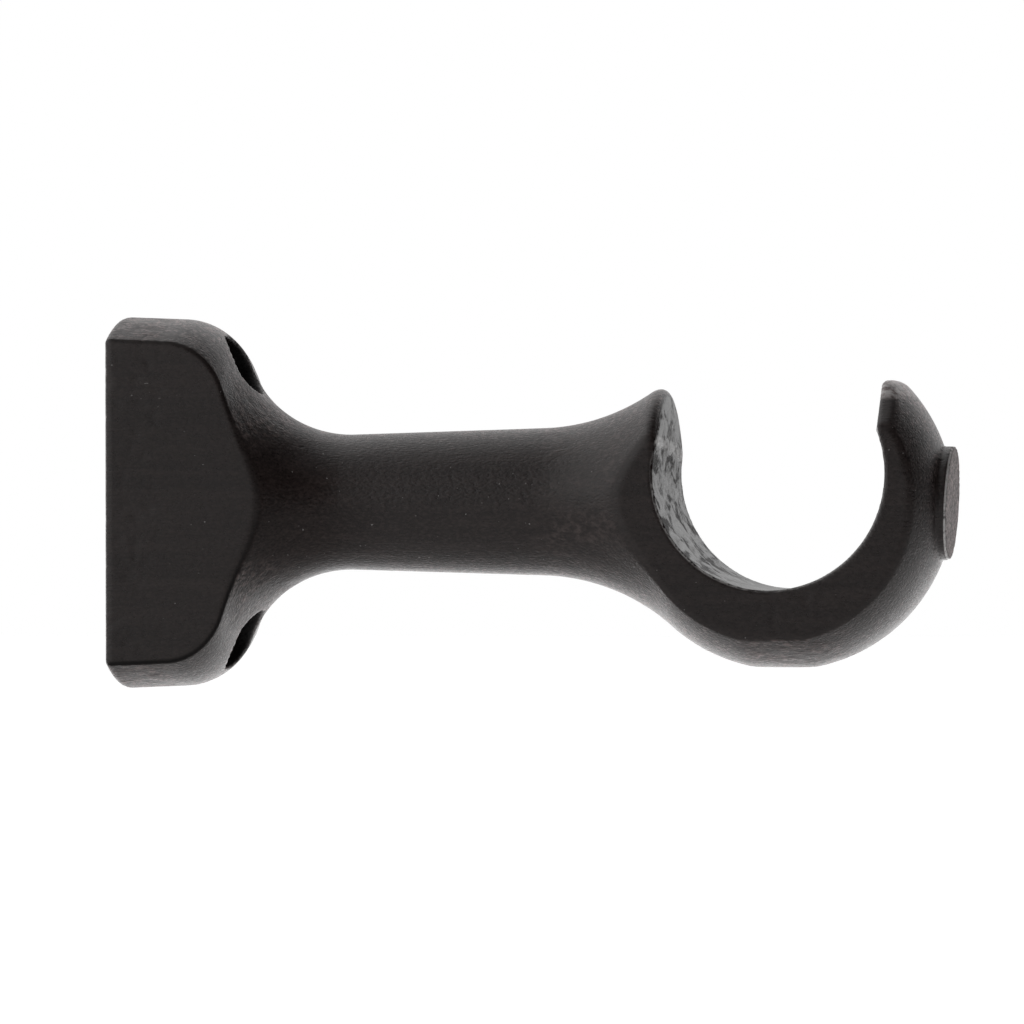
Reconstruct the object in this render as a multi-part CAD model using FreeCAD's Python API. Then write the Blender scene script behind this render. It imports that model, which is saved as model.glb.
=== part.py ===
import FreeCAD, Part
import math
import os

from FreeCAD import Vector

# Curtain pole bracket, turned in one piece from a wooden plank. Millimetres.
# The turning axis is X. The wall face lies at X = 0 and the arm points to +X.
# The pole lies along Y and drops in from above, so +Z is up.

# Plank
stock_thickness = 25.0

# Base disc and its convex shoulder
base_diameter = 50.0
rim_draft_deg = 2.4
shoulder_radius = 8.7
shoulder_centre_x = 8.1

# Neck, from the fillet at the base to the flare at the head
neck_root_diameter = 18.1
root_fillet_radius = 16.0
neck_end_diameter = 19.6
flare_radius = 28.0

# Head ball, with the short straight band that the blank leaves round its middle
head_centre_x = 89.6
head_ball_diameter = 44.6
head_band_diameter = 43.7

# Parting stub left at the free end, with its face sawn slightly out of square
stub_diameter = 15.0
stub_face_x = 111.9
stub_face_tilt_deg = 3.0
stub_drop = 0.3

# Seat for the pole and the slot that opens it to the top
pole_diameter = 28.0
pole_clearance = 2.6
pole_centre_x = 89.1
pole_centre_z = 3.65
slot_clearance = 0.9
slot_centre_x = 88.7
slot_skew_deg = 1.0

# Lips on both sides of the slot
rear_lip_round = 1.2
front_lip_top_z = 15.95
front_lip_round = 0.8

# Screw holes above and below the neck, drilled at a slant to clear the head
screw_hole_diameter = 4.5
screw_head_diameter = 8.4
screw_axis_z_at_wall = 13.1
screw_slant_deg = 19.0
screw_seat_depth = 6.5

# Edges eased with sandpaper: those of the turned plank, then those of the pole opening
plank_easing = 0.5
opening_easing = 0.25

# Turn in the surface above which an edge counts as sharp
sharp_turn_deg = 20.0

# Gap below which surfaces that should coincide are joined
fuse_tolerance = 0.001

# Sizes that follow from the ones above
half_thickness = stock_thickness / 2
base_radius = base_diameter / 2
neck_root_radius = neck_root_diameter / 2
neck_end_radius = neck_end_diameter / 2
head_ball_radius = head_ball_diameter / 2
head_band_radius = head_band_diameter / 2
seat_radius = (pole_diameter + pole_clearance) / 2
slot_width = pole_diameter + slot_clearance
reach = stub_face_x + stub_diameter
cut_margin = stock_thickness


def on_circle(centre, radius, toward):
    """Return the point of a circle that lies in the direction of another point."""
    direction = toward - centre
    return centre + direction * (radius / direction.Length)


def arc(centre, radius, start, end):
    """Return the short arc of a circle between two of its points."""
    middle = on_circle(centre, radius, (start + end) * 0.5)
    return Part.Arc(start, middle, end).toShape()


def line(start, end):
    """Return a straight edge."""
    return Part.LineSegment(start, end).toShape()


def turned_profile():
    """Return the closed half section in the XZ plane, every arc tangent to its neighbours."""
    draft = math.radians(rim_draft_deg)
    rim_at_shoulder = base_radius - shoulder_centre_x * math.tan(draft)
    shoulder_centre = Vector(shoulder_centre_x, 0, rim_at_shoulder - shoulder_radius / math.cos(draft))
    root_centre_z = neck_root_radius + root_fillet_radius
    root_rise = root_centre_z - shoulder_centre.z
    root_run = math.sqrt((shoulder_radius + root_fillet_radius) ** 2 - root_rise ** 2)
    root_centre = Vector(shoulder_centre.x + root_run, 0, root_centre_z)

    head_centre = Vector(head_centre_x, 0, 0)
    flare_centre_z = neck_end_radius + flare_radius
    flare_run = math.sqrt((flare_radius + head_ball_radius) ** 2 - flare_centre_z ** 2)
    flare_centre = Vector(head_centre_x - flare_run, 0, flare_centre_z)

    between = flare_centre - root_centre
    taper = math.atan2(between.z, between.x)
    taper -= math.asin((flare_radius - root_fillet_radius) / between.Length)
    below = Vector(math.sin(taper), 0, -math.cos(taper))

    wall_axis = Vector(0, 0, 0)
    wall_rim = Vector(0, 0, base_radius)
    rim_end = shoulder_centre + Vector(math.sin(draft), 0, math.cos(draft)) * shoulder_radius
    crease = on_circle(shoulder_centre, shoulder_radius, root_centre)
    neck_start = root_centre + below * root_fillet_radius
    neck_end = flare_centre + below * flare_radius
    ball_start = on_circle(head_centre, head_ball_radius, flare_centre)
    band_half = math.sqrt(head_ball_radius ** 2 - head_band_radius ** 2)
    band_start = Vector(head_centre_x - band_half, 0, head_band_radius)
    band_end = Vector(head_centre_x + band_half, 0, head_band_radius)
    tip = Vector(head_centre_x + head_ball_radius, 0, 0)

    return Part.Wire([
        line(wall_axis, wall_rim),
        line(wall_rim, rim_end),
        arc(shoulder_centre, shoulder_radius, rim_end, crease),
        arc(root_centre, root_fillet_radius, crease, neck_start),
        line(neck_start, neck_end),
        arc(flare_centre, flare_radius, neck_end, ball_start),
        arc(head_centre, head_ball_radius, ball_start, band_start),
        line(band_start, band_end),
        arc(head_centre, head_ball_radius, band_end, tip),
        line(tip, wall_axis),
    ])


def full_turning():
    """Return the full body of revolution about X."""
    return Part.Face(turned_profile()).revolve(Vector(0, 0, 0), Vector(1, 0, 0), 360)


def plank_blank():
    """Return the turning with the two flat faces of the plank, their edges eased."""
    plank = Part.makeBox(reach, stock_thickness, base_diameter, Vector(0, -half_thickness, -base_radius))
    blank = full_turning().common(plank)
    return blank.makeChamfer(plank_easing, sharp_edges(blank))


def parting_stub():
    """Return the short spigot at the free end, cut off by a tilted saw face."""
    face_centre = Vector(stub_face_x, 0, -stub_drop)
    start = Vector(head_centre_x, 0, -stub_drop)
    spigot = Part.makeCylinder(stub_diameter / 2, reach - head_centre_x, start, Vector(1, 0, 0))
    saw_side = 2 * stub_diameter
    corner = face_centre - Vector(0, saw_side / 2, saw_side / 2)
    waste = Part.makeBox(reach, saw_side, saw_side, corner)
    waste.rotate(face_centre, Vector(0, 1, 0), stub_face_tilt_deg)
    sawn = spigot.cut(waste)
    return sawn.makeChamfer(opening_easing, sharp_edges(sawn, on_saw_face))


def pole_opening():
    """Return the pole seat along Y with the slot above it."""
    length = stock_thickness + 2 * cut_margin
    seat_start = Vector(pole_centre_x, -length / 2, pole_centre_z)
    seat = Part.makeCylinder(seat_radius, length, seat_start, Vector(0, 1, 0))
    corner = Vector(slot_centre_x - slot_width / 2, -length / 2, pole_centre_z)
    slot = Part.makeBox(slot_width, length, base_diameter, corner)
    slot.rotate(Vector(slot_centre_x, 0, 0), Vector(0, 0, 1), slot_skew_deg)
    return seat.fuse(slot)


def opening_waste():
    """Return what the opening takes out of the full turning, with both lips rounded."""
    turning = full_turning()
    lipped = turning.cut(pole_opening())
    lipped = lipped.makeFillet(rear_lip_round, sharp_edges(lipped, on_rear_crest))
    corner = Vector(pole_centre_x, -base_radius, front_lip_top_z)
    lipped = lipped.cut(Part.makeBox(reach, base_diameter, base_diameter, corner))
    lipped = lipped.makeFillet(front_lip_round, sharp_edges(lipped, on_front_tip))
    return turning.cut(lipped)


def seat_easing(side):
    """Return the cone that eases the edge of the seat on the far (+1) or near (-1) flat face."""
    start = Vector(pole_centre_x, side * (half_thickness - opening_easing), pole_centre_z)
    return Part.makeCone(seat_radius, seat_radius + cut_margin, cut_margin, start, Vector(0, side, 0))


def screw_hole(side):
    """Return the slanted screw hole on the upper (+1) or lower (-1) side of the neck."""
    slant = math.radians(screw_slant_deg)
    along = Vector(math.cos(slant), 0, side * math.sin(slant))
    at_wall = Vector(0, 0, side * screw_axis_z_at_wall)
    shank_start = at_wall - along * screw_head_diameter
    shank = Part.makeCylinder(screw_hole_diameter / 2, 2 * reach, shank_start, along)
    countersink_depth = (screw_head_diameter - screw_hole_diameter) / 2
    seat_start = at_wall + along * (screw_seat_depth - countersink_depth)
    seat = Part.makeCone(screw_hole_diameter / 2, screw_head_diameter / 2, countersink_depth, seat_start, along)
    head_start = at_wall + along * screw_seat_depth
    head = Part.makeCylinder(screw_head_diameter / 2, 2 * base_radius, head_start, along)
    return shank.fuse(seat).fuse(head)


def turn_at(edge, shape):
    """Return by how many degrees the surface turns across the middle of an edge."""
    faces = shape.ancestorsOfType(edge, Part.Face)
    if edge.Degenerated or len(faces) != 2:
        return 0.0
    middle = edge.valueAt((edge.FirstParameter + edge.LastParameter) / 2)
    normals = [face.normalAt(*face.Surface.parameter(middle)) for face in faces]
    return math.degrees(normals[0].getAngle(normals[1]))


def sharp_edges(shape, wanted=lambda edge: True):
    """Return the wanted edges of a shape at which its surface turns sharply."""
    return [edge for edge in shape.Edges if turn_at(edge, shape) > sharp_turn_deg and wanted(edge)]


def on_saw_face(edge):
    """Tell whether an edge of the stub bounds its sawn face."""
    return edge.CenterOfMass.x > stub_face_x - stub_diameter / 4


def on_lips(edge):
    """Tell whether an edge lies on one of the lips beside the slot."""
    return edge.CenterOfMass.z > head_ball_radius / 2


def on_rear_crest(edge):
    """Tell whether an edge runs along the crest of the lip behind the slot."""
    return on_lips(edge) and head_centre_x - head_ball_radius < edge.CenterOfMass.x < pole_centre_x


def on_front_tip(edge):
    """Tell whether an edge bounds the lip in front of the slot."""
    return on_lips(edge) and edge.CenterOfMass.x > pole_centre_x


def bracket_body():
    """Return the whole bracket as one solid."""
    body = plank_blank().fuse(parting_stub())
    body = body.cut(opening_waste(), fuse_tolerance)
    for side in (-1, 1):
        body = body.cut(seat_easing(side))
        body = body.cut(screw_hole(side))
    return body.removeSplitter().Solids[0]


os.makedirs("parts", exist_ok=True)
bracket_body().exportStep("parts/bracket_body.step")
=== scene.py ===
"""A turned wooden curtain pole bracket, dark stained, on a pale floor in soft studio light.

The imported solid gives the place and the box. The visible body is polygonised by Geometry Nodes
from the rule that shapes the real one: a turning with tangent arcs, cut to the thickness of its
plank, opened for the pole, drilled for two screws and sanded at every edge.
"""

import logging
import math
from dataclasses import dataclass, field, fields
from enum import Enum

import bpy
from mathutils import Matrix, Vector


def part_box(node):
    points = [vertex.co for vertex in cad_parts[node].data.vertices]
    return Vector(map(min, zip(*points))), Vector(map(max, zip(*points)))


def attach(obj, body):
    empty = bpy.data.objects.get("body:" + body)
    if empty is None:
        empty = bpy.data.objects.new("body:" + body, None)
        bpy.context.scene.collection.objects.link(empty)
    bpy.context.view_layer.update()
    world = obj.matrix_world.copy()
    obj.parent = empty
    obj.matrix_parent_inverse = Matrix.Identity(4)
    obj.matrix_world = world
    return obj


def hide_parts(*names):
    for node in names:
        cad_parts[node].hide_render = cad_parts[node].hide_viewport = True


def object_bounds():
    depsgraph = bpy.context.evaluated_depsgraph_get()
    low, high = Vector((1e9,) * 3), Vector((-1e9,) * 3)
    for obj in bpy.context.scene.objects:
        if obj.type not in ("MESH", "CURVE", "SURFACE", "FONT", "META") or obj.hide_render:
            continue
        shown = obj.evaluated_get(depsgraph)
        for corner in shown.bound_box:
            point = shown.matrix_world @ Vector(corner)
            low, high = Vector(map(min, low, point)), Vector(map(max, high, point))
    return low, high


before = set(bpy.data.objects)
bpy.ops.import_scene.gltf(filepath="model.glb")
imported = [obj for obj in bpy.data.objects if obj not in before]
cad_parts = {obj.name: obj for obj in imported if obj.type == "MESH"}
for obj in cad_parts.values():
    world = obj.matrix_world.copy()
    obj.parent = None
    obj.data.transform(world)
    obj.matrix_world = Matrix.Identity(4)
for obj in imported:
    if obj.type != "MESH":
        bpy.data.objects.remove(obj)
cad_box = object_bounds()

log = logging.getLogger("bracket")

METRES_PER_MM = 0.001
FAR_OFF_MM = 100.0
BAND_BLEND_MM = 0.15
LEAST_STEEPNESS = 0.25
WHITE = (1.0, 1.0, 1.0, 1.0)


class Op(Enum):
    """The operations of the math node that the shape and the finish use."""

    ADD = "ADD"
    SUBTRACT = "SUBTRACT"
    MULTIPLY = "MULTIPLY"
    DIVIDE = "DIVIDE"
    SQRT = "SQRT"
    ABSOLUTE = "ABSOLUTE"
    MINIMUM = "MINIMUM"
    MAXIMUM = "MAXIMUM"
    SINE = "SINE"
    COSINE = "COSINE"
    TANGENT = "TANGENT"
    ARCTAN2 = "ARCTAN2"
    ARCSINE = "ARCSINE"
    GREATER_THAN = "GREATER_THAN"


class Gap(Enum):
    """Distances in millimetres, stored on the mesh so that its places can be told apart."""

    OPENING = "opening_gap"
    FLATS = "flats_gap"
    TURNED = "turned_gap"
    RECESS = "recess_gap"
    SAWN = "sawn_gap"
    RIDGE = "ridge_gap"
    BEVEL = "bevel_gap"


class Field:
    """A number that is worked out at every point, as the end of a chain of math nodes."""

    def __init__(self, tree: bpy.types.NodeTree, socket: bpy.types.NodeSocket) -> None:
        """Take the tree that holds the chain and the socket that the number comes from."""
        self.tree = tree
        self.socket = socket

    def math(
        self, operation: Op, *others: "Field | float", first: "Field | float | None" = None,
    ) -> "Field":
        """Add one math node to the chain.

        Args:
            operation: What the node does.
            others: The further values that it takes, fields or plain numbers.
            first: What stands in the first place, this field where nothing is named.

        Returns:
            The field that the node gives.
        """
        node = self.tree.nodes.new("ShaderNodeMath")
        node.operation = operation.value
        for socket, value in zip(node.inputs, (self if first is None else first, *others)):
            feed(self.tree, socket, value)
        return Field(self.tree, node.outputs[0])

    def __add__(self, other: "Field | float") -> "Field":
        """Return the sum."""
        return self.math(Op.ADD, other)

    def __radd__(self, other: float) -> "Field":
        """Return the sum with a plain number in front."""
        return self.math(Op.ADD, other)

    def __sub__(self, other: "Field | float") -> "Field":
        """Return the difference."""
        return self.math(Op.SUBTRACT, other)

    def __rsub__(self, other: float) -> "Field":
        """Return a plain number less this field."""
        return self.math(Op.SUBTRACT, self, first=other)

    def __mul__(self, other: "Field | float") -> "Field":
        """Return the product."""
        return self.math(Op.MULTIPLY, other)

    def __rmul__(self, other: float) -> "Field":
        """Return the product with a plain number in front."""
        return self.math(Op.MULTIPLY, other)

    def __truediv__(self, other: "Field | float") -> "Field":
        """Return the quotient."""
        return self.math(Op.DIVIDE, other)

    def __neg__(self) -> "Field":
        """Return the field with its sign turned."""
        return self.math(Op.MULTIPLY, -1.0)

    def squared(self) -> "Field":
        """Return the field times itself."""
        return self.math(Op.MULTIPLY, self)

    def root(self) -> "Field":
        """Return the square root, of nothing less than zero."""
        return self.at_least(0.0).math(Op.SQRT)

    def size(self) -> "Field":
        """Return the value without its sign."""
        return self.math(Op.ABSOLUTE)

    def at_least(self, other: "Field | float") -> "Field":
        """Return the larger of two values."""
        return self.math(Op.MAXIMUM, other)

    def at_most(self, other: "Field | float") -> "Field":
        """Return the smaller of two values."""
        return self.math(Op.MINIMUM, other)

    def over(self, other: "Field | float") -> "Field":
        """Return 1 where this field is the larger, and 0 elsewhere."""
        return self.math(Op.GREATER_THAN, other)

    def ramp(self, low: "Field | float", high: "Field | float") -> "Field":
        """Return a smooth step from 0 at the low value to 1 at the high one.

        Args:
            low: Where the step starts.
            high: Where the step ends, above or below the start.

        Returns:
            The step, held at 0 and 1 beyond its ends.
        """
        node = self.tree.nodes.new("ShaderNodeMapRange")
        node.interpolation_type = "SMOOTHSTEP"
        for name, value in (("Value", self), ("From Min", low), ("From Max", high)):
            feed(self.tree, node.inputs[name], value)
        return Field(self.tree, node.outputs[0])


def feed(tree: bpy.types.NodeTree, socket: bpy.types.NodeSocket, value: object) -> None:
    """Link a field or a socket into a socket, or set a plain value on it.

    Args:
        tree: The tree that holds the socket.
        socket: The socket that takes the value.
        value: A field, an output socket or a plain value.
    """
    if isinstance(value, Field):
        tree.links.new(value.socket, socket)
    elif isinstance(value, bpy.types.NodeSocket):
        tree.links.new(value, socket)
    else:
        socket.default_value = value


def add_node(
    tree: bpy.types.NodeTree, kind: str, inputs: dict | None = None, **settings: object,
) -> bpy.types.Node:
    """Add a node, set its options and feed its inputs.

    Args:
        tree: The tree that takes the node.
        kind: The node's type.
        inputs: Values, fields or sockets by the input's name or place.
        settings: The node's own options.

    Returns:
        The new node.
    """
    node = tree.nodes.new(kind)
    for name, value in settings.items():
        setattr(node, name, value)
    for key, value in (inputs or {}).items():
        feed(tree, node.inputs[key], value)
    return node


def blend(low: "Field | float", high: "Field | float", share: Field) -> Field:
    """Return a value that goes from one to another as the share goes from 0 to 1.

    Args:
        low: The value at a share of 0.
        high: The value at a share of 1.
        share: How far the value has gone from low to high.

    Returns:
        The value between them.
    """
    tree = share.tree
    node = add_node(tree, "ShaderNodeMix", data_type="FLOAT", clamp_factor=True)
    for socket, value in zip(node.inputs[:1] + node.inputs[2:4], (share, low, high)):
        feed(tree, socket, value)
    return Field(tree, node.outputs[0])


def both(first: Field, second: Field, radius: "Field | float") -> Field:
    """Return the signed distance of what two solids share, with their common edge rounded.

    Args:
        first: The signed distance of one solid, negative inside.
        second: The signed distance of the other.
        radius: The radius of the edge where the two meet squarely.

    Returns:
        The signed distance of the rounded intersection.
    """
    out_of_first = (first + radius).at_least(0.0)
    out_of_second = (second + radius).at_least(0.0)
    corner = (out_of_first.squared() + out_of_second.squared()).root()
    inner = first.at_least(second)
    return inner.math(Op.MINIMUM, (0.0 - radius) if isinstance(radius, float) else -radius) + corner


@dataclass(frozen=True)
class Step:
    """A smooth step of a value: the least part at its start, and the share more at its end."""

    start: float
    end: float
    share: float = 1.0
    least: float = 0.0

    def of(self, value: Field) -> Field:
        """Return the step of a value."""
        return value.ramp(self.start, self.end) * self.share + self.least


@dataclass(frozen=True)
class TornBand:
    """A stretch of the turning with torn grain. Millimetres from wall and mid height."""

    centre_x: float
    half_length: float
    least_height: float
    share: float = 1.0
    full_part: float = 0.4
    fade_below: float = 3.0
    fade_above: float = 2.0

    def at(self, x: Field, z: Field) -> Field:
        """Return how far the band tears a point.

        Args:
            x: The distance of the point from the wall.
            z: Its height above mid height.

        Returns:
            The tear, from 0 to the band's share.
        """
        along = (x - self.centre_x).size().ramp(self.half_length, self.half_length * self.full_part)
        low, high = self.least_height - self.fade_below, self.least_height + self.fade_above
        return along * z.size().ramp(low, high) * self.share


TORN_BANDS = (
    TornBand(centre_x=3.5, half_length=6.0, least_height=0.0),
    TornBand(centre_x=21.0, half_length=7.0, least_height=9.0),
    TornBand(centre_x=64.0, half_length=8.5, least_height=1.0, share=0.35),
    TornBand(centre_x=92.0, half_length=9.0, least_height=6.0),
)


def torn_places(x: Field, z: Field) -> Field:
    """Return how far the tool tore the grain at a place of the turning.

    Args:
        x: The distance of the place from the wall.
        z: Its height above mid height.

    Returns:
        The tear, from 0 to 1.
    """
    rough = x * 0.0
    for band in TORN_BANDS:
        rough = rough.at_least(band.at(x, z))
    return rough


@dataclass(frozen=True)
class Point:
    """A place in millimetres, as three fields."""

    x: Field
    y: Field
    z: Field


@dataclass(frozen=True)
class Spot:
    """A place in the half section of the turning: along its axis and out from it."""

    along: Field
    out: Field

    def distance(self, other: "Spot") -> Field:
        """Return the distance between two spots."""
        return ((self.along - other.along).squared() + (self.out - other.out).squared()).root()


class Sizes:
    """The sizes of a part as named inputs of a node tree."""

    def named(self) -> dict[str, float]:
        """Name the sizes in plain words.

        Returns:
            Each size by the name of its input.
        """
        label = type(self).__name__.lower()
        names = (item.name for item in fields(self))
        return {f"{label} {name.replace('_', ' ')}": getattr(self, name) for name in names}

    def live(self, tree: bpy.types.NodeTree, source: bpy.types.Node) -> "Sizes":
        """Return a copy whose sizes are fields that read the tree's inputs."""
        reads = (Field(tree, source.outputs[name]) for name in self.named())
        return type(self)(*reads)


@dataclass(frozen=True)
class Turning(Sizes):
    """The turned blank: base, shoulder, neck and ball, and the plank around it. Millimetres."""

    stock_thickness: float = 25.0
    base_diameter: float = 50.0
    rim_draft_deg: float = 2.4
    shoulder_radius: float = 8.7
    shoulder_centre_x: float = 8.1
    neck_root_diameter: float = 18.1
    root_fillet_radius: float = 16.0
    neck_end_diameter: float = 19.6
    flare_radius: float = 28.0
    head_centre_x: float = 89.6
    head_ball_diameter: float = 44.55
    head_band_diameter: float = 43.9

    def distance(self, point: Point) -> Field:
        """Return the signed distance of the full turning, arc by arc from the wall outwards.

        Args:
            point: The point to measure.

        Returns:
            The distance, negative in the wood.
        """
        here = Spot(point.x, (point.y.squared() + point.z.squared()).root())
        draft = self.rim_draft_deg * math.radians(1.0)
        tangent, lean, upright = (draft.math(op) for op in (Op.TANGENT, Op.SINE, Op.COSINE))
        rim = (here.out - self.base_diameter / 2.0 + here.along * tangent) * upright

        shoulder_rise = self.base_diameter / 2.0 - self.shoulder_centre_x * tangent
        shoulder = Spot(self.shoulder_centre_x, shoulder_rise - self.shoulder_radius / upright)
        root_out = self.neck_root_diameter / 2.0 + self.root_fillet_radius
        reach = self.shoulder_radius + self.root_fillet_radius
        run = (reach.squared() - (root_out - shoulder.out).squared()).root()
        root = Spot(shoulder.along + run, root_out)

        ball_radius = self.head_ball_diameter / 2.0
        flare_out = self.neck_end_diameter / 2.0 + self.flare_radius
        flare_run = ((self.flare_radius + ball_radius).squared() - flare_out.squared()).root()
        head = Spot(self.head_centre_x, self.head_centre_x * 0.0)
        flare = Spot(self.head_centre_x - flare_run, flare_out)

        slope = (flare.out - root.out).math(Op.ARCTAN2, flare.along - root.along)
        gain = (self.flare_radius - self.root_fillet_radius) / root.distance(flare)
        taper = slope - gain.math(Op.ARCSINE)
        rise, go = taper.math(Op.SINE), taper.math(Op.COSINE)

        past_rim = (here.along - shoulder.along) * upright - (here.out - shoulder.out) * lean
        past_shoulder = self.crossed(here, shoulder, root)
        past_root = (here.along - root.along) * go + (here.out - root.out) * rise
        past_neck = (here.along - flare.along) * go + (here.out - flare.out) * rise
        past_flare = self.crossed(here, head, flare)

        neck = (
            (here.out - root.out) * go - (here.along - root.along) * rise
            + self.root_fillet_radius
        )
        band = here.out - self.head_band_diameter / 2.0
        ball = both(here.distance(head) - ball_radius, band, BAND_BLEND_MM)
        surface = blend(rim, here.distance(shoulder) - self.shoulder_radius, past_rim.over(0.0))
        fillet = self.root_fillet_radius - here.distance(root)
        surface = blend(surface, fillet, past_shoulder.over(0.0))
        surface = blend(surface, neck, past_root.over(0.0))
        surface = blend(surface, self.flare_radius - here.distance(flare), past_neck.over(0.0))
        return blend(surface, ball, past_flare.over(0.0))

    @staticmethod
    def crossed(here: Spot, start: Spot, end: Spot) -> Field:
        """Return a value above zero on the right of the line from one centre to another."""
        run, rise = end.along - start.along, end.out - start.out
        return (here.along - start.along) * rise - (here.out - start.out) * run

    def flats(self, point: Point) -> Field:
        """Return the signed distance of the space between the plank's two faces."""
        return point.y.size() - self.stock_thickness / 2.0


@dataclass(frozen=True)
class Opening(Sizes):
    """The seat for the pole and the slot above it. Millimetres."""

    seat_diameter: float = 30.6
    seat_x: float = 89.1
    seat_z: float = 3.65
    slot_width: float = 28.9
    slot_x: float = 88.7
    slot_skew_deg: float = 1.0
    front_lip_top_z: float = 15.95
    bevel_foot_z: float = 9.8
    bevel_lean_deg: float = 48.5

    def seat(self, point: Point) -> Field:
        """Return the signed distance of the round seat, negative in the void."""
        across, up = point.x - self.seat_x, point.z - self.seat_z
        return (across.squared() + up.squared()).root() - self.seat_diameter / 2.0

    def slot(self, point: Point) -> Field:
        """Return the signed distance of the skew slot above the seat.

        Args:
            point: The point to measure.

        Returns:
            The distance, negative in the void.
        """
        skew = self.slot_skew_deg * math.radians(1.0)
        square = (point.x - self.slot_x) * skew.math(Op.COSINE) + point.y * skew.math(Op.SINE)
        return (square.size() - self.slot_width / 2.0).at_least(self.seat_z - point.z)

    def distance(self, point: Point) -> Field:
        """Return the signed distance of the wood around the opening, negative in the wood."""
        return -self.seat(point).at_most(self.slot(point))

    def ridge(self, point: Point) -> Field:
        """Return how far a point of the opening's wall lies from where seat and slot meet."""
        return (self.seat(point) - self.slot(point)).size()

    def in_front(self, point: Point) -> Field:
        """Return 1 in front of the pole's centre and 0 behind it."""
        return point.x.over(self.seat_x)

    def levelled(self, point: Point) -> Field:
        """Return the signed distance below the levelled tip of the front lip."""
        return blend(-FAR_OFF_MM, point.z - self.front_lip_top_z, self.in_front(point))

    def bevelled(self, point: Point, flat_y: Field) -> Field:
        """Return the signed distance below the facet sanded on the near side of the front lip.

        Args:
            point: The point to measure.
            flat_y: How far the plank's flat faces lie from the middle.

        Returns:
            The distance, negative below the facet.
        """
        lean = self.bevel_lean_deg * math.radians(1.0)
        up = (point.z - self.bevel_foot_z) * lean.math(Op.SINE)
        near = (point.y + flat_y) * lean.math(Op.COSINE)
        return blend(-FAR_OFF_MM, up - near, self.in_front(point))


@dataclass(frozen=True)
class Stub(Sizes):
    """The short spigot that the parting cut left at the free end. Millimetres."""

    diameter: float = 15.0
    face_x: float = 111.9
    face_tilt_deg: float = 3.0
    drop: float = 0.3
    start_x: float = 106.5

    def face(self, point: Point) -> Field:
        """Return the signed distance behind the tilted saw face.

        Args:
            point: The point to measure.

        Returns:
            The distance, negative on the side of the wood.
        """
        tilt = self.face_tilt_deg * math.radians(1.0)
        ahead, above = point.x - self.face_x, point.z + self.drop
        return ahead * tilt.math(Op.COSINE) - above * tilt.math(Op.SINE)

    def distance(self, point: Point, easing: Field) -> Field:
        """Return the signed distance of the spigot, its rim eased.

        Args:
            point: The point to measure.
            easing: The radius of its rim.

        Returns:
            The distance, negative in the wood.
        """
        out = (point.y.squared() + (point.z + self.drop).squared()).root()
        spigot = both(out - self.diameter / 2.0, self.face(point), easing)
        return spigot.at_least(self.start_x - point.x)


@dataclass(frozen=True)
class Screws(Sizes):
    """The two slanted screw holes with their wide recesses. Millimetres."""

    hole_diameter: float = 4.5
    recess_diameter: float = 9.0
    z_at_wall: float = 12.8
    slant_deg: float = 19.0
    seat_depth: float = 6.5

    def distance(self, point: Point) -> Field:
        """Return the signed distance of the wood around both holes.

        Args:
            point: The point to measure.

        Returns:
            The distance, negative in the wood.
        """
        slant = self.slant_deg * math.radians(1.0)
        rise, go = slant.math(Op.SINE), slant.math(Op.COSINE)
        off = point.z.size() - self.z_at_wall
        depth = point.x * go + off * rise
        out = (point.y.squared() + (off * go - point.x * rise).squared()).root()
        widest, narrowest = self.recess_diameter / 2.0, self.hole_diameter / 2.0
        radius = (depth - self.seat_depth + widest).at_least(narrowest).at_most(widest)
        return radius - out


@dataclass(frozen=True)
class Sanding(Sizes):
    """How far each kind of edge is rounded: the radius that a square edge gets. Millimetres."""

    plank_rim: float = 0.22
    plank_apex: float = 0.5
    wall: float = 0.9
    opening: float = 0.2
    lip_bevel: float = 0.6
    rear_lip: float = 2.3
    front_lip: float = 0.9
    screw: float = 0.3


@dataclass(frozen=True)
class Relief(Sizes):
    """The grain that sanding and stain leave standing on the wood. Millimetres."""

    grain_depth: float = 0.015
    grain_length: float = 14.0
    grain_width: float = 1.3
    torn_depth: float = 0.06
    torn_size: float = 1.5


@dataclass(frozen=True)
class Net:
    """How fine the surface is, and how its points settle on it. Millimetres."""

    cell: float = 0.41
    probe: float = 0.02
    settling_rounds: int = 3
    margin: float = 1.5


class ShapeTree:
    """A Geometry Nodes tree with named inputs, built in plain steps."""

    def __init__(self, name: str) -> None:
        """Start an empty tree.

        Args:
            name: The tree's name.
        """
        self.tree = bpy.data.node_groups.new(name, "GeometryNodeTree")
        self.source = self.tree.nodes.new("NodeGroupInput")
        self.sink = self.tree.nodes.new("NodeGroupOutput")

    def add_input(self, name: str, kind: str, value: object = None) -> None:
        """Add a named input with its resting value.

        Args:
            name: The input's name.
            kind: The type of its socket.
            value: What it holds where nothing else is set.
        """
        socket = self.tree.interface.new_socket(name, in_out="INPUT", socket_type=kind)
        if value is not None:
            socket.default_value = value

    def add_output(self, name: str, kind: str) -> None:
        """Add a named output."""
        self.tree.interface.new_socket(name, in_out="OUTPUT", socket_type=kind)

    def add_sizes(self, *parts: Sizes) -> None:
        """Add an input for every size of every part.

        Args:
            parts: The parts whose sizes the tree takes.
        """
        for part in parts:
            for name, value in part.named().items():
                self.add_input(name, "NodeSocketFloat", value)

    def node(self, kind: str, inputs: dict | None = None, **settings: object) -> bpy.types.Node:
        """Add a node to this tree, as add_node does."""
        return add_node(self.tree, kind, inputs, **settings)


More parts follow.
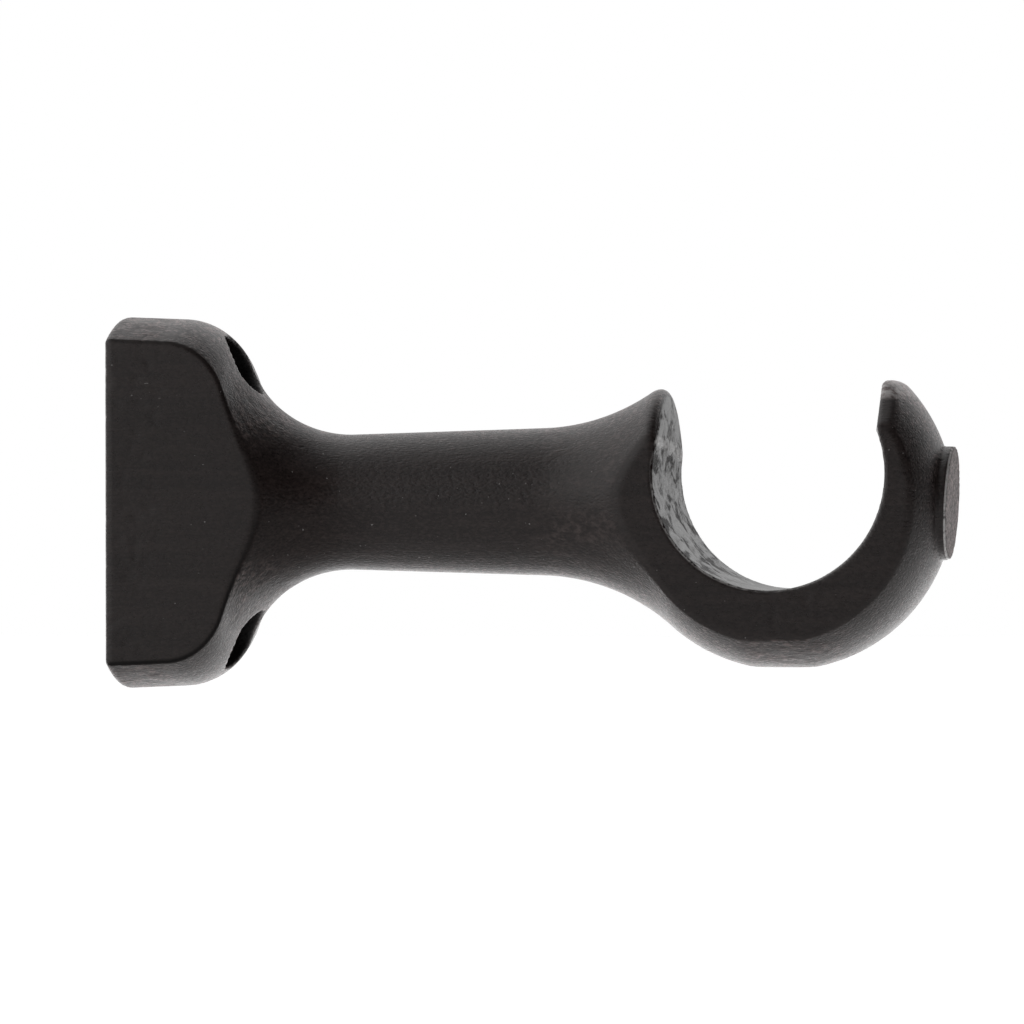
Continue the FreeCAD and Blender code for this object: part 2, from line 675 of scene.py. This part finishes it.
@dataclass
class Bracket:
    """The whole bracket: one piece of turned, cut, drilled and sanded wood."""

    turning: Turning = field(default_factory=Turning)
    opening: Opening = field(default_factory=Opening)
    stub: Stub = field(default_factory=Stub)
    screws: Screws = field(default_factory=Screws)
    sanding: Sanding = field(default_factory=Sanding)
    relief: Relief = field(default_factory=Relief)
    net: Net = field(default_factory=Net)
    rim_edge: Step = Step(0.5, 6.0)
    outer_edge: Step = Step(-1.0, 1.0)
    grain_cuts: Step = Step(0.45, 0.7)
    torn_cuts: Step = Step(0.5, 0.75)
    name: str = "bracket_wood"
    node: str = "bracket_body"
    slot: str = "stained_wood"

    def parts(self) -> tuple[Sizes, ...]:
        """Return the parts whose sizes shape the body."""
        return (self.turning, self.opening, self.stub, self.screws, self.sanding)

    def distance_tree(self) -> bpy.types.NodeTree:
        """Build the rule of the body: how far a point lies outside its surface.

        Returns:
            A tree with a point and every size as inputs and signed distances as outputs.
        """
        group = ShapeTree("bracket_distance")
        group.add_input("Point", "NodeSocketVector")
        group.add_sizes(*self.parts())
        for name in ("Distance", *(gap.value for gap in Gap)):
            group.add_output(name, "NodeSocketFloat")
        split = group.node("ShaderNodeSeparateXYZ", {0: group.source.outputs["Point"]})
        point = Point(*(Field(group.tree, socket) for socket in split.outputs))
        live = (part.live(group.tree, group.source) for part in self.parts())
        turning, opening, stub, screws, sanding = live

        turned, flats = turning.distance(point), turning.flats(point)
        open_wall, recess = opening.distance(point), screws.distance(point)
        lip = blend(sanding.rear_lip, sanding.front_lip, opening.in_front(point))
        body = both(turned, open_wall, lip)
        body = both(body, opening.levelled(point), sanding.front_lip)
        out = (point.y.squared() + point.z.squared()).root() - turning.stock_thickness / 2.0
        plank_edge = blend(sanding.plank_apex, sanding.plank_rim, self.rim_edge.of(out))
        edge = blend(sanding.opening, plank_edge, self.outer_edge.of(turned - open_wall))
        body = both(body, flats, edge)
        bevel = opening.bevelled(point, turning.stock_thickness / 2.0)
        body = both(body, bevel, sanding.lip_bevel)
        body = both(body, -point.x, sanding.wall)
        body = body.at_most(stub.distance(point, sanding.opening))
        body = both(body, recess, sanding.screw)

        gaps = {
            Gap.OPENING: open_wall, Gap.FLATS: flats, Gap.TURNED: turned,
            Gap.RECESS: recess, Gap.SAWN: stub.face(point), Gap.RIDGE: opening.ridge(point),
            Gap.BEVEL: bevel,
        }
        feed(group.tree, group.sink.inputs["Distance"], body)
        for gap, result in gaps.items():
            feed(group.tree, group.sink.inputs[gap.value], result)
        return group.tree

    def shape_tree(self, finish: bpy.types.Material) -> bpy.types.NodeTree:
        """Build the tree that turns the rule into a fine mesh with grain standing on it.

        Args:
            finish: The material that the mesh takes.

        Returns:
            The tree, whose sizes are named inputs in millimetres and whose mesh is in metres.
        """
        rule = self.distance_tree()
        shape = ShapeTree("bracket_shape")
        shape.add_output("Geometry", "NodeSocketGeometry")
        shape.add_sizes(*self.parts(), self.relief)
        lowest, highest, steps = self.grid()

        outside = self.measured(shape, rule, shape.node("GeometryNodeInputPosition").outputs[0])
        cloud = shape.node("GeometryNodeVolumeCube", {
            "Density": -Field(shape.tree, outside["Distance"]), "Background": -FAR_OFF_MM,
            "Min": lowest, "Max": highest,
            "Resolution X": steps[0], "Resolution Y": steps[1], "Resolution Z": steps[2],
        })
        skin = shape.node("GeometryNodeVolumeToMesh", {
            "Volume": cloud.outputs[0], "Threshold": 0.0,
        })
        mesh = skin.outputs[0]
        for _ in range(self.net.settling_rounds):
            mesh = self.settled(shape, rule, mesh)
        mesh = self.with_gaps(shape, rule, mesh)
        mesh = self.with_relief(shape, mesh)
        scale = (METRES_PER_MM,) * 3
        mesh = shape.node("GeometryNodeTransform", {"Geometry": mesh, "Scale": scale}).outputs[0]
        mesh = shape.node("GeometryNodeSetShadeSmooth", {"Geometry": mesh}).outputs[0]
        mesh = shape.node("GeometryNodeRealizeInstances", {"Geometry": mesh}).outputs[0]
        mesh = shape.node("GeometryNodeSetMaterial", {
            "Geometry": mesh, "Material": finish,
        }).outputs[0]
        feed(shape.tree, shape.sink.inputs[0], mesh)
        return shape.tree

    def grid(self) -> tuple[Vector, Vector, tuple[int, int, int]]:
        """Lay a grid round the solid's own box.

        Returns:
            Its lowest and its highest corner in millimetres, and its steps along each axis.
        """
        low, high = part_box(self.node)
        margin = Vector((self.net.margin,) * 3)
        lowest = low / METRES_PER_MM - margin
        highest = high / METRES_PER_MM + margin
        steps = tuple(int(length / self.net.cell) for length in highest - lowest)
        return lowest, highest, steps

    def measured(
        self, shape: ShapeTree, rule: bpy.types.NodeTree, place: object,
    ) -> bpy.types.bpy_prop_collection:
        """Add the rule as a group, fed with a place and with the tree's own sizes.

        Args:
            shape: The tree that uses the rule.
            rule: The rule's tree.
            place: The socket with the point to measure.

        Returns:
            The outputs of the group.
        """
        group = shape.node("GeometryNodeGroup", node_tree=rule)
        feed(shape.tree, group.inputs["Point"], place)
        for part in self.parts():
            for name in part.named():
                feed(shape.tree, group.inputs[name], shape.source.outputs[name])
        return group.outputs

    def settled(self, shape: ShapeTree, rule: bpy.types.NodeTree, mesh: object) -> object:
        """Spread the points evenly and pull them back onto the surface along its slope.

        Args:
            shape: The tree that holds the mesh.
            rule: The rule's tree.
            mesh: The socket that the mesh comes from.

        Returns:
            The socket of the settled mesh.
        """
        here = shape.node("GeometryNodeInputPosition").outputs[0]
        even = shape.node("GeometryNodeBlurAttribute", data_type="FLOAT_VECTOR")
        feed(shape.tree, self.socket_of(even.inputs, "VECTOR"), here)
        spread = shape.node("GeometryNodeSetPosition", {
            "Geometry": mesh, "Position": self.socket_of(even.outputs, "VECTOR"),
        }).outputs[0]
        gap = Field(shape.tree, self.measured(shape, rule, here)["Distance"])
        slopes = []
        for axis in range(3):
            step = [0.0, 0.0, 0.0]
            step[axis] = self.net.probe
            beside = shape.node("ShaderNodeVectorMath", {
                0: here, 1: step,
            }, operation="ADD").outputs[0]
            there = Field(shape.tree, self.measured(shape, rule, beside)["Distance"])
            slopes.append((there - gap) / self.net.probe)
        steepness = slopes[0].squared() + slopes[1].squared() + slopes[2].squared()
        share = -gap / steepness.at_least(LEAST_STEEPNESS)
        steps = {axis: slope * share for axis, slope in enumerate(slopes)}
        move = shape.node("ShaderNodeCombineXYZ", steps).outputs[0]
        return shape.node("GeometryNodeSetPosition", {
            "Geometry": spread, "Offset": move,
        }).outputs[0]

    @staticmethod
    def socket_of(sockets: object, kind: str) -> bpy.types.NodeSocket:
        """Return the first socket of a kind that is in use."""
        return next(socket for socket in sockets if socket.type == kind and socket.enabled)

    def with_gaps(self, shape: ShapeTree, rule: bpy.types.NodeTree, mesh: object) -> object:
        """Store on each point how far it lies from the surfaces that meet in the body.

        Args:
            shape: The tree that holds the mesh.
            rule: The rule's tree.
            mesh: The socket that the mesh comes from.

        Returns:
            The socket of the mesh with its distances.
        """
        here = shape.node("GeometryNodeInputPosition").outputs[0]
        measured = self.measured(shape, rule, here)
        for gap in Gap:
            mesh = shape.node("GeometryNodeStoreNamedAttribute", {
                "Geometry": mesh, "Name": gap.value, "Value": measured[gap.value],
            }, data_type="FLOAT", domain="POINT").outputs[0]
        return mesh

    def with_relief(self, shape: ShapeTree, mesh: object) -> object:
        """Press the long grain, and the torn grain where the tool cut across it, into the surface.

        Args:
            shape: The tree that holds the mesh.
            mesh: The socket that the mesh comes from.

        Returns:
            The socket of the mesh with its relief.
        """
        relief = self.relief.live(shape.tree, shape.source)
        here = shape.node("GeometryNodeInputPosition").outputs[0]
        split = shape.node("ShaderNodeSeparateXYZ", {0: here})
        x, y, z = (Field(shape.tree, socket) for socket in split.outputs)
        along = shape.node("ShaderNodeCombineXYZ", {
            0: x / relief.grain_length, 1: y / relief.grain_width, 2: z / relief.grain_width,
        }).outputs[0]
        even = shape.node("ShaderNodeCombineXYZ", {
            0: x / relief.torn_size, 1: y / relief.torn_size, 2: z / relief.torn_size,
        }).outputs[0]
        grain = shape.node("ShaderNodeTexNoise", {"Vector": along, "Scale": 1.0, "Detail": 3.0})
        torn = shape.node("ShaderNodeTexNoise", {"Vector": even, "Scale": 1.0, "Detail": 4.0})
        grain_cut = self.grain_cuts.of(Field(shape.tree, grain.outputs[0])) * relief.grain_depth
        torn_cut = self.torn_cuts.of(Field(shape.tree, torn.outputs[0])) * relief.torn_depth
        torn_cut = torn_cut * torn_places(x, z)
        normal = shape.node("GeometryNodeInputNormal").outputs[0]
        inwards = shape.node("ShaderNodeVectorMath", {
            0: normal, "Scale": -(grain_cut + torn_cut),
        }, operation="SCALE").outputs[0]
        return shape.node("GeometryNodeSetPosition", {
            "Geometry": mesh, "Offset": inwards,
        }).outputs[0]

    def build(self, finish: bpy.types.Material) -> bpy.types.Object:
        """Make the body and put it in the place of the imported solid.

        Args:
            finish: The material of the wood.

        Returns:
            The finished object.
        """
        seed = bpy.data.objects.new("seed", bpy.data.meshes.new("seed"))
        bpy.context.scene.collection.objects.link(seed)
        modifier = seed.modifiers.new("shape", "NODES")
        modifier.node_group = self.shape_tree(finish)
        graph = bpy.context.evaluated_depsgraph_get()
        mesh = bpy.data.meshes.new_from_object(seed.evaluated_get(graph), depsgraph=graph)
        seed.modifiers.remove(modifier)
        bpy.data.objects.remove(seed)
        body = bpy.data.objects.new(self.name, mesh)
        mesh.name = self.name
        bpy.context.scene.collection.objects.link(body)
        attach(body, "root")
        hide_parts(self.node)
        return body


@dataclass(frozen=True)
class Noise:
    """A noise whose cells have a length, a width and a height. Millimetres."""

    cell: tuple[float, float, float]
    detail: float
    distortion: float = 0.0

    def over(self, tree: bpy.types.NodeTree, place: object) -> Field:
        """Lay the noise over the wood.

        Args:
            tree: The material's tree.
            place: The socket with the object coordinates, in metres.

        Returns:
            The noise, from 0 to 1 about a half.
        """
        scale = tuple(1.0 / (METRES_PER_MM * size) for size in self.cell)
        mapped = add_node(tree, "ShaderNodeMapping", {"Vector": place, "Scale": scale})
        node = add_node(tree, "ShaderNodeTexNoise", {
            "Vector": mapped.outputs[0], "Scale": 1.0,
            "Detail": self.detail, "Distortion": self.distortion,
        })
        return Field(tree, node.outputs[0])


@dataclass(frozen=True)
class Figure:
    """The figure of the wood and of its stain: noises, or the fields that they give."""

    grain: Noise | Field = Noise((26.0, 1.2, 1.2), 5.0)
    pores: Noise | Field = Noise((2.4, 0.2, 0.2), 2.0)
    tooth: Noise | Field = Noise((0.6, 0.3, 0.3), 3.0)
    mottle: Noise | Field = Noise((1.0, 0.6, 0.6), 6.0, 0.15)
    cloud: Noise | Field = Noise((6.0, 4.0, 4.0), 3.0)
    swirl: Noise | Field = Noise((2.6, 4.4, 2.4), 5.0, 0.7)
    dust: Noise | Field = Noise((0.55, 0.38, 0.38), 2.0)
    blotch: Noise | Field = Noise((2.0, 1.3, 1.3), 2.0)
    specks: Noise | Field = Noise((0.45, 0.4, 0.4), 0.0)

    def over(self, tree: bpy.types.NodeTree, place: object) -> "Figure":
        """Return the same figure with a field for every noise, laid over the wood."""
        return Figure(*(getattr(self, item.name).over(tree, place) for item in fields(self)))


@dataclass(frozen=True)
class Places:
    """How far a point belongs to each place of the wood, from 0 to 1."""

    recess: Field
    sawn: Field
    bevel: Field
    turned: Field
    across_grain: Field
    hollow: Field
    torn: Field
    tip: Field
    crease: Field
    rim: Field


@dataclass(frozen=True)
class Borders:
    """Where each place starts and ends. Millimetres from surface, wall and mid height."""

    seat: Step = Step(0.3, 0.1)
    flat: Step = Step(0.3, 0.02)
    # Where the screw recesses are laid near black, fading in from their mouths.
    recess: Step = Step(0.4, 0.1)
    recess_mouth: Step = Step(0.1, 0.6)
    sawn: Step = Step(0.15, 0.02)
    bevel: Step = Step(0.35, 0.15)
    bevel_top_z: Step = Step(13.9, 13.5)
    end_grain_x: Step = Step(92.0, 80.0, 0.85, 0.15)
    hollow_start_x: Step = Step(15.0, 18.0)
    hollow_end_x: Step = Step(40.0, 26.0)
    hollow_top_z: Step = Step(8.0, 2.0)
    hollow_foot_z: Step = Step(-14.0, -9.0)
    torn_cloud: Step = Step(0.3, 0.6)
    torn_off_wall_x: Step = Step(0.2, 1.2)
    tip_x: Step = Step(89.0, 90.0)
    tip_z: Step = Step(13.0, 14.2)
    # The dark line along the flats' edge: near the wall, and stronger on the lower side.
    crease: Step = Step(0.5, 0.15)
    crease_x: Step = Step(31.0, 27.0)
    crease_z: Step = Step(0.0, -5.0, 0.6, 0.35)
    seat_at_flat: Step = Step(0.35, 0.05)
    seat_at_turned: Step = Step(0.45, 0.1)
    recess_at_turned: Step = Step(0.4, 0.08)
    ridge: Step = Step(0.25, 0.05, 1.4)
    sawn_rim_inside: Step = Step(0.0, 0.08)
    sawn_rim_outside: Step = Step(0.35, 0.22, 1.3)

    @staticmethod
    def gap(tree: bpy.types.NodeTree, gap: Gap) -> Field:
        """Return a distance that the mesh stores, without its sign."""
        node = add_node(tree, "ShaderNodeAttribute", attribute_name=gap.value)
        return Field(tree, node.outputs["Fac"]).size()

    def places(self, tree: bpy.types.NodeTree, place: object, figure: Figure) -> Places:
        """Tell the places of the wood apart.

        Args:
            tree: The material's tree.
            place: The socket with the object coordinates, in metres.
            figure: The figure of the wood as fields.

        Returns:
            How far a point belongs to each place.
        """
        split = add_node(tree, "ShaderNodeSeparateXYZ", {0: place})
        x, _, z = (Field(tree, socket) / METRES_PER_MM for socket in split.outputs)
        opening, flats, turned, recess, sawn, ridge, bevel = (self.gap(tree, gap) for gap in Gap)
        on_seat = self.seat.of(opening)
        on_bevel = self.bevel.of(bevel) * self.bevel_top_z.of(z)
        on_turned = (1.0 - self.flat.of(flats)) * (1.0 - on_seat) * (1.0 - on_bevel)
        hollow = self.hollow_start_x.of(x) * self.hollow_end_x.of(x)
        hollow = hollow * self.hollow_top_z.of(z) * self.hollow_foot_z.of(z)
        torn = torn_places(x, z) * self.torn_cloud.of(figure.cloud) * self.torn_off_wall_x.of(x)
        crease = self.crease.of(flats + turned) * self.crease_x.of(x) * self.crease_z.of(z)
        rim = self.seat_at_flat.of(opening + flats)
        rim = rim.at_least(self.seat_at_turned.of(opening + turned))
        rim = rim.at_least(self.recess_at_turned.of(recess + turned))
        rim = rim.at_least(on_seat * self.ridge.of(ridge))
        rim = rim.at_least(self.sawn_rim_inside.of(sawn) * self.sawn_rim_outside.of(sawn))
        return Places(
            recess=self.recess.of(recess) * self.recess_mouth.of(turned),
            sawn=self.sawn.of(sawn),
            bevel=on_bevel,
            turned=on_turned,
            across_grain=on_seat * self.end_grain_x.of(x),
            hollow=on_turned * hollow,
            torn=on_turned * torn,
            tip=self.tip_x.of(x) * self.tip_z.of(z),
            crease=crease,
            rim=rim,
        )


@dataclass(frozen=True)
class Paint:
    """The shares of stain, bare wood and dust that the figure gives each place."""

    grain_streak: Step = Step(0.35, 0.75, 0.35)
    pore_streak: Step = Step(0.45, 0.8, 0.2)
    tooth_streak: Step = Step(0.42, 0.68, 0.4)
    fuzz: Step = Step(0.42, 0.7, 0.06)
    torn_patch: Step = Step(0.44, 0.66, 0.8)
    tip_patch: Step = Step(0.2, 0.6, 0.7, 0.6)
    tip_bare: Step = Step(0.35, 0.6, 0.7)
    seat_bare: Step = Step(0.4, 0.7, 0.16)
    sawn_patch: Step = Step(0.4, 0.6, 0.8)
    # How far the tooth darkens the line along the flats' edge.
    crease_dark: Step = Step(0.25, 0.45)
    worn_rim: Step = Step(0.2, 0.55, 0.8)
    speck: Step = Step(0.84, 0.87, 0.3)
    seat_dull: Step = Step(0.62, 0.42, 0.985)
    sawn_dull: Step = Step(0.6, 0.4, 0.4, 0.15)
    dust: Step = Step(0.43, 0.62)
    dust_blotch: Step = Step(0.38, 0.6, 0.7, 0.3)
    mottled_wisp: float = 0.4
    bevel_dull: float = 0.3
    crease_dull: float = 0.7
    hollow_dull: float = 0.5
    hollow_clean: float = 0.6
    tooth_roughness: float = 0.3
    torn_roughness: float = 0.1
    raw_roughness: float = 0.15
    pore_height: float = 0.3
    tooth_height: float = 0.35
    turned_tooth_height: float = 0.8
    torn_height: float = 1.5
    swirl_height: float = 3.0


@dataclass(frozen=True)
class StainedWood:
    """Dark stained wood with a satin skin, worn grey on its edges. Lengths in millimetres."""

    stain: tuple[float, float, float] = (0.0135, 0.0086, 0.0080)
    fibre: tuple[float, float, float] = (0.0330, 0.0225, 0.0205)
    torn: tuple[float, float, float] = (0.1300, 0.0960, 0.0900)
    bare: tuple[float, float, float] = (0.5000, 0.4850, 0.4800)
    # Near black: laid over the screw recesses, and as a dark line along the flats' edge that is
    # stronger on the lower side.
    pooled: tuple[float, float, float] = (0.0040, 0.0032, 0.0032)
    roughness: float = 0.32
    specular: float = 0.5
    sheen_roughness: float = 0.35
    sheen_tint: tuple[float, float, float] = (1.0, 0.82, 0.81)
    bump_strength: float = 0.6
    bump_depth: float = 0.12
    figure: Figure = Figure()
    borders: Borders = Borders()
    paint: Paint = Paint()

    @staticmethod
    def coloured(tree: bpy.types.NodeTree, first: object, second: object, share: Field) -> object:
        """Mix two colours, each given as numbers or as a socket.

        Args:
            tree: The material's tree.
            first: The colour at a share of 0.
            second: The colour at a share of 1.
            share: The share of the second colour.

        Returns:
            The socket of the mixed colour.
        """
        node = add_node(tree, "ShaderNodeMix", data_type="RGBA", clamp_factor=True)
        sockets = (node.inputs[0], node.inputs[6], node.inputs[7])
        for socket, value in zip(sockets, (share, first, second)):
            feed(tree, socket, (*value, 1.0) if isinstance(value, tuple) else value)
        return node.outputs[2]

    def colour(self, tree: bpy.types.NodeTree, figure: Figure, places: Places) -> object:
        """Lay the colours over each other, from the stain up to the worn edges, then near black in
        the screw recesses.

        Args:
            tree: The material's tree.
            figure: The figure of the wood as fields.
            places: The places of the wood.

        Returns:
            The socket of the colour.
        """
        paint = self.paint
        streak = paint.grain_streak.of(figure.grain) + paint.pore_streak.of(figure.pores)
        streak = streak + paint.tooth_streak.of(figure.tooth)
        patches = places.torn * paint.torn_patch.of(figure.mottle)
        patches = patches.at_least(places.turned * paint.fuzz.of(figure.tooth))
        patches = patches.at_least(places.tip * paint.tip_patch.of(figure.mottle))
        worn = places.rim * paint.worn_rim.of(figure.mottle)
        layers = (
            (self.fibre, streak),
            (self.torn, patches),
            (self.bare, places.tip * paint.tip_bare.of(figure.mottle)),
            (self.bare, places.across_grain * paint.seat_bare.of(figure.swirl)),
            (self.torn, places.sawn * paint.sawn_patch.of(figure.mottle)),
            # A near-black line along the flats' edge, stronger on the lower side.
            (self.pooled, places.crease * paint.crease_dark.of(figure.tooth)),
            (self.bare, worn.at_least(paint.speck.of(figure.specks))),
            # The screw recesses near black, fading in from their mouths.
            (self.pooled, places.recess),
        )
        result: object = self.stain
        for shade, share in layers:
            result = self.coloured(tree, result, shade, share)
        return result

    def rough(self, figure: Figure, places: Places) -> Field:
        """Return the roughness, higher on torn, drilled and sawn wood.

        Args:
            figure: The figure of the wood as fields.
            places: The places of the wood.

        Returns:
            The roughness of the skin.
        """
        paint = self.paint
        raw = places.recess.at_least(places.sawn) * paint.raw_roughness
        tooth = (figure.tooth - 0.5) * paint.tooth_roughness
        return self.roughness + tooth + places.torn * paint.torn_roughness + raw

    def gloss(self, figure: Figure, places: Places) -> Field:
        """Return the gloss, lower where end grain has soaked up the stain and in creases.

        Args:
            figure: The figure of the wood as fields.
            places: The places of the wood.

        Returns:
            The specular level of the skin.
        """
        paint = self.paint
        wisp = figure.swirl + (figure.mottle - 0.5) * paint.mottled_wisp
        dull = places.across_grain * paint.seat_dull.of(wisp)
        dull = dull.at_least(places.sawn * paint.sawn_dull.of(figure.mottle))
        dull = dull.at_least(places.bevel * paint.bevel_dull)
        gloss = self.specular * (1.0 - places.crease * paint.crease_dull) * (1.0 - dull)
        return gloss * (1.0 - places.hollow * paint.hollow_dull)

    def dusted(self, figure: Figure, places: Places) -> Field:
        """Return the film of dust on the turned wood.

        Args:
            figure: The figure of the wood as fields.
            places: The places of the wood.

        Returns:
            The weight of the film, from 0 to 1.
        """
        paint = self.paint
        film = paint.dust.of(figure.dust) * paint.dust_blotch.of(figure.blotch)
        return places.turned * film * (1.0 - places.hollow * paint.hollow_clean)

    def height(self, figure: Figure, places: Places) -> Field:
        """Return the height of the fine relief.

        Args:
            figure: The figure of the wood as fields.
            places: The places of the wood.

        Returns:
            The height, as a part of the relief's depth.
        """
        paint = self.paint
        tooth = figure.tooth * (places.turned * paint.turned_tooth_height + paint.tooth_height)
        torn = figure.mottle * places.torn * paint.torn_height
        swirl = figure.swirl * places.across_grain * paint.swirl_height
        return figure.pores * paint.pore_height + tooth + torn + swirl

    def material(self) -> bpy.types.Material:
        """Build the material.

        Returns:
            The material, with its colour, roughness, gloss, dust and relief from nodes.
        """
        material = bpy.data.materials.new("stained_wood")
        material.use_nodes = True
        tree = material.node_tree
        shader = tree.nodes["Principled BSDF"]
        place = add_node(tree, "ShaderNodeTexCoord").outputs["Object"]
        figure = self.figure.over(tree, place)
        places = self.borders.places(tree, place, figure)
        bump = add_node(tree, "ShaderNodeBump", {
            "Height": self.height(figure, places), "Strength": self.bump_strength,
            "Distance": self.bump_depth * METRES_PER_MM,
        })
        feed(tree, shader.inputs["Base Color"], self.colour(tree, figure, places))
        feed(tree, shader.inputs["Roughness"], self.rough(figure, places))
        feed(tree, shader.inputs["Specular IOR Level"], self.gloss(figure, places))
        feed(tree, shader.inputs["Sheen Weight"], self.dusted(figure, places))
        shader.inputs["Sheen Roughness"].default_value = self.sheen_roughness
        shader.inputs["Sheen Tint"].default_value = (*self.sheen_tint, 1.0)
        feed(tree, shader.inputs["Normal"], bump.outputs[0])
        return material


@dataclass(frozen=True)
class Shot:
    """The place of the camera, from the photograph's perspective. Millimetres and degrees."""

    target_x: float = 52.853
    height: float = -1.36
    turn_deg: float = 10.65
    away: float = 866.67
    focal_px: float = 6500.0
    picture_px: float = 1024.0
    roll_deg: float = 0.09
    sensor_mm: float = 36.0
    reach_m: float = 20.0

    def camera(self) -> None:
        """Make the camera and choose it."""
        data = bpy.data.cameras.new("camera")
        data.sensor_width = self.sensor_mm
        data.lens = data.sensor_width * self.focal_px / self.picture_px
        data.clip_end = self.reach_m
        camera = bpy.data.objects.new("camera", data)
        turn = math.radians(self.turn_deg)
        away = Vector((math.sin(turn), -math.cos(turn), 0.0)) * self.away
        camera.location = (Vector((self.target_x, 0.0, self.height)) + away) * METRES_PER_MM
        camera.rotation_euler = (math.pi / 2, math.radians(self.roll_deg), turn)
        bpy.context.scene.collection.objects.link(camera)
        bpy.context.scene.camera = camera


@dataclass(frozen=True)
class Lamp:
    """A square soft lamp that points at the bracket. Metres and watts."""

    name: str
    place: tuple[float, float, float]
    size: float
    power: float

    def hang(self) -> None:
        """Hang the lamp in its place."""
        data = bpy.data.lights.new(self.name, "AREA")
        data.size = self.size
        data.energy = self.power
        lamp = bpy.data.objects.new(self.name, data)
        lamp.location = self.place
        target = Vector(((cad_box[0][0] + cad_box[1][0]) / 2, 0.0, 0.0))
        lamp.rotation_euler = (target - lamp.location).to_track_quat("-Z", "Y").to_euler()
        bpy.context.scene.collection.objects.link(lamp)


@dataclass(frozen=True)
class Studio:
    """A pale floor and a white tent of light, darker on the camera's right. Metres."""

    floor_drop: float = 0.11
    floor_half: float = 6.0
    floor_colour: tuple[float, float, float] = (0.82, 0.82, 0.82)
    floor_roughness: float = 0.9
    floor_glow: float = 1.65
    floor_glow_x: Step = Step(0.6, 0.1)
    floor_glow_y: Step = Step(-0.05, 0.4)
    floor_white: float = 0.66
    floor_lift: float = 0.35
    tent_strength: float = 0.95
    right_strength: float = 0.04
    left_strength: float = 1.0
    top_strength: float = 0.25
    left_side: Step = Step(0.2, 0.65)
    top: Step = Step(0.2, 0.9)
    top_left: Step = Step(-0.6, 0.0)
    front_side: Step = Step(-0.75, -0.1)
    front_turn: float = 0.25
    overhead: Lamp = Lamp("overhead", (-0.25, 0.15, 0.9), 0.8, 0.8)

    def floor(self) -> None:
        """Lay the floor below the bracket."""
        low = cad_box[0][2] - self.floor_drop
        side = self.floor_half
        corners = [(-side, -side, low), (side, -side, low), (side, side, low), (-side, side, low)]
        mesh = bpy.data.meshes.new("floor")
        mesh.from_pydata(corners, [], [(0, 1, 2, 3)])
        floor = bpy.data.objects.new("floor", mesh)
        bpy.context.scene.collection.objects.link(floor)
        mesh.materials.append(self.floor_material())

    def floor_material(self) -> bpy.types.Material:
        """Build the floor's pale finish, which the camera sees as white.

        Returns:
            The material of the floor.
        """
        material = bpy.data.materials.new("pale_floor")
        material.use_nodes = True
        tree = material.node_tree
        shader = tree.nodes["Principled BSDF"]
        shader.inputs["Base Color"].default_value = (*self.floor_colour, 1.0)
        shader.inputs["Roughness"].default_value = self.floor_roughness
        shader.inputs["Specular IOR Level"].default_value = 0.0
        shader.inputs["Emission Color"].default_value = WHITE
        path = add_node(tree, "ShaderNodeLightPath")
        place = add_node(tree, "ShaderNodeTexCoord").outputs["Object"]
        x, y, _ = (
            Field(tree, socket)
            for socket in add_node(tree, "ShaderNodeSeparateXYZ", {0: place}).outputs
        )
        mirrored = Field(tree, path.outputs["Is Glossy Ray"]) * self.floor_glow
        glow = mirrored * self.floor_glow_x.of(x) * self.floor_glow_y.of(y)
        seen = Field(tree, path.outputs["Is Camera Ray"]) * self.floor_white
        lift = Field(tree, path.outputs["Is Diffuse Ray"]) * self.floor_lift
        feed(tree, shader.inputs["Emission Strength"], glow + seen + lift)
        return material

    @staticmethod
    def facing(
        tree: bpy.types.NodeTree, direction: object, axis: tuple[float, float, float],
    ) -> Field:
        """Return how far a direction agrees with an axis, from -1 to 1."""
        dot = add_node(tree, "ShaderNodeVectorMath", {
            0: direction, 1: axis,
        }, operation="DOT_PRODUCT")
        return Field(tree, dot.outputs[1])

    def tent(self, shot: Shot) -> None:
        """Light the scene from all round, but little from in front and from the right.

        Args:
            shot: The camera's place, which says where the front is.
        """
        world = bpy.data.worlds.new("tent")
        bpy.context.scene.world = world
        world.use_nodes = True
        tree = world.node_tree
        background = tree.nodes["Background"]
        path = add_node(tree, "ShaderNodeLightPath")
        seen = Field(tree, path.outputs["Is Camera Ray"])
        direction = add_node(tree, "ShaderNodeTexCoord").outputs["Generated"]
        turn = math.radians(shot.turn_deg)
        front = self.facing(tree, direction, (math.sin(turn), -math.cos(turn), 0.0))
        left = self.facing(tree, direction, (-math.cos(turn), -math.sin(turn), 0.0))
        up = self.facing(tree, direction, (0.0, 0.0, 1.0))
        strength = blend(self.right_strength, self.left_strength, self.left_side.of(left))
        overhead = self.top.of(up) * self.top_left.of(left) * self.top_strength
        strength = strength.at_least(overhead)
        ahead = self.front_side.of(front - left * self.front_turn)
        strength = blend(self.tent_strength, strength, ahead)
        feed(tree, background.inputs["Strength"], blend(strength, 1.0, seen))
        background.inputs["Color"].default_value = WHITE

    def build(self, shot: Shot) -> None:
        """Set up the floor, the tent, the lamp and the camera.

        Args:
            shot: The camera's place.
        """
        shot.camera()
        self.floor()
        self.tent(shot)
        self.overhead.hang()


def main() -> None:
    """Build the bracket and its studio."""
    logging.basicConfig(level=logging.INFO, format="%(name)s: %(message)s")
    scene = bpy.context.scene
    scene.view_settings.view_transform = "Standard"
    Studio().build(Shot())
    body = Bracket().build(StainedWood().material())
    log.info("%s has %d faces", body.name, len(body.data.polygons))


if __name__ == "__main__":
    main()
